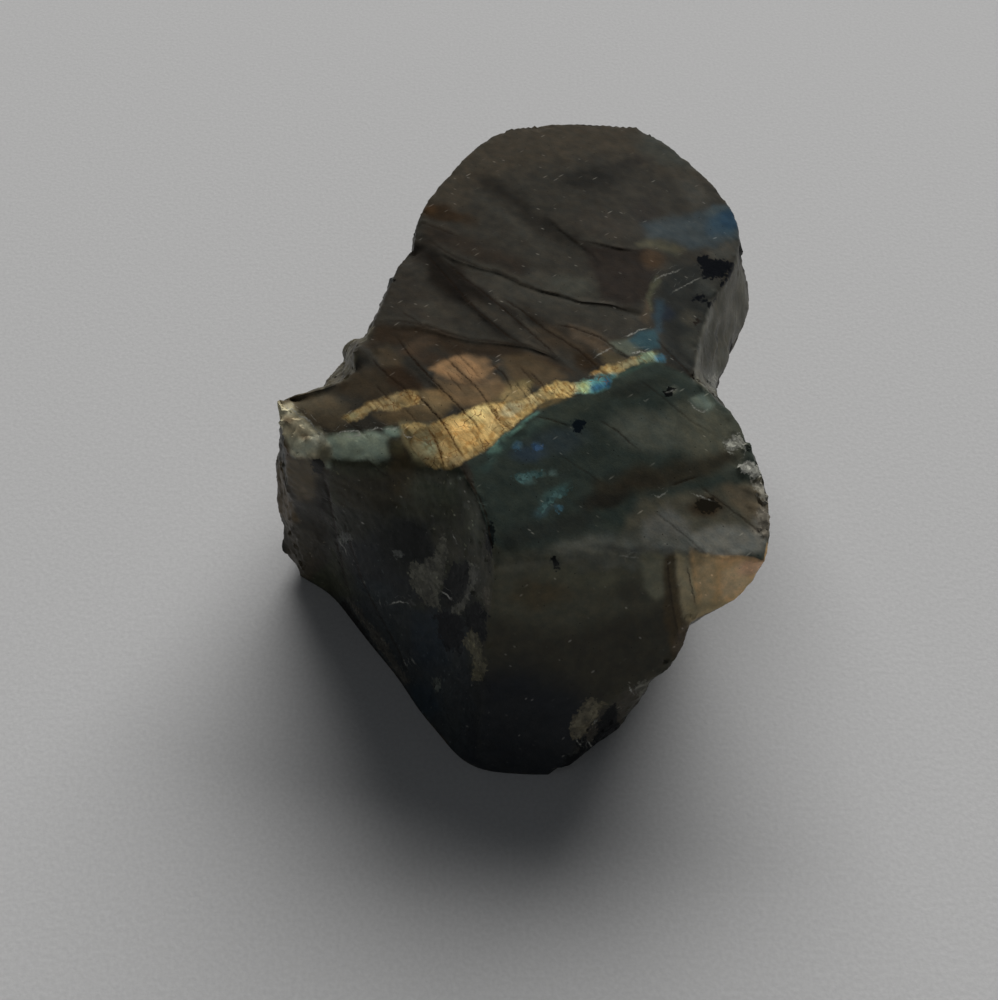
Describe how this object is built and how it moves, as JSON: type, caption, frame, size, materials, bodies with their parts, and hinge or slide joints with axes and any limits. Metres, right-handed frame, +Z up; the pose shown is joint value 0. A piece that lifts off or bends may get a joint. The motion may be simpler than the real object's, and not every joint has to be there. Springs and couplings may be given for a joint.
{
  "type": "rough mineral specimen",
  "caption": "Rough chunk of labradorite with a cleaved, ledged top, steep broken sides and a flat base that it rests on.",
  "frame": {"origin": "centre of the bounding box on the plane that the stone rests on", "axes": "+Z up from the flat base, +Y along the stone's length towards its rounded far end, +X across it towards the sloping grey shoulder"},
  "size_m": [0.0568, 0.0746, 0.0304],
  "materials": {
    "labradorite": "broken natural stone, half-glossy cleaved faces with gold, teal and blue flashes"
  },
  "bodies": {
    "root": {"labradorite_chunk": "labradorite"}
  },
  "joints": []
}
